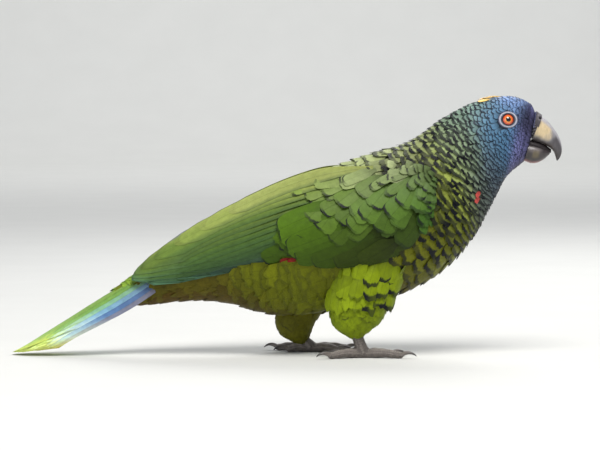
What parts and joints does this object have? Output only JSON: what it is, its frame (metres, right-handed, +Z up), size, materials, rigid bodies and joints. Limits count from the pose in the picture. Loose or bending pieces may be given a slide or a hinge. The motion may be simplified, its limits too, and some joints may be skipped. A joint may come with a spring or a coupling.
{
  "type": "amazon parrot",
  "caption": "Life-size standing amazon parrot with a blue head, green back and wings, barred yellow-green breast, closed wings and a long tail laid to the floor.",
  "frame": {"origin": "on the floor, under the middle of the bird's bounding box", "axes": "+X is the way the bird faces, +Y is its left side, +Z is up"},
  "size_m": [0.4176, 0.0948, 0.1968],
  "materials": {
    "head_feathers": "soft blue feathers with fine dark edges",
    "neck_feathers": "yellow-green feathers with broad black edges",
    "body_feathers": "olive and yellow-green feathers with dark bars",
    "tail_covert_feathers": "soft mustard and olive feathers",
    "wing_feathers": "smooth leaf-green feathers with a slight sheen",
    "tail_feathers": "green feathers with blue outer webs and yellow-green tips",
    "horn": "worn horn, satin, grey to ivory",
    "bare_skin": "fine-grained bare skin, matte",
    "scaly_skin": "scaly grey skin, matte",
    "eye": "wet gloss, orange-red iris"
  },
  "bodies": {
    "root": {"head": "head_feathers", "neck": "neck_feathers", "trunk": "body_feathers", "tail_coverts": "tail_covert_feathers", "wing_coverts_right": "wing_feathers", "wing_coverts_left": "wing_feathers", "secondaries_right": "wing_feathers", "secondaries_left": "wing_feathers", "primaries_right": "wing_feathers", "primaries_left": "wing_feathers", "tail_middle": "tail_feathers", "tail_right": "tail_feathers", "tail_left": "tail_feathers", "thigh_right": "body_feathers", "thigh_left": "body_feathers", "foot_right": "scaly_skin", "foot_left": "scaly_skin", "claw_inner_front_right": "horn", "claw_outer_front_right": "horn", "claw_outer_back_right": "horn", "claw_inner_back_right": "horn", "claw_inner_front_left": "horn", "claw_outer_front_left": "horn", "claw_outer_back_left": "horn", "claw_inner_back_left": "horn", "upper_bill": "horn", "lower_bill": "horn", "cere": "bare_skin", "eye_ring_right": "bare_skin", "eye_right": "eye", "eye_ring_left": "bare_skin", "eye_left": "eye"}
  },
  "joints": []
}
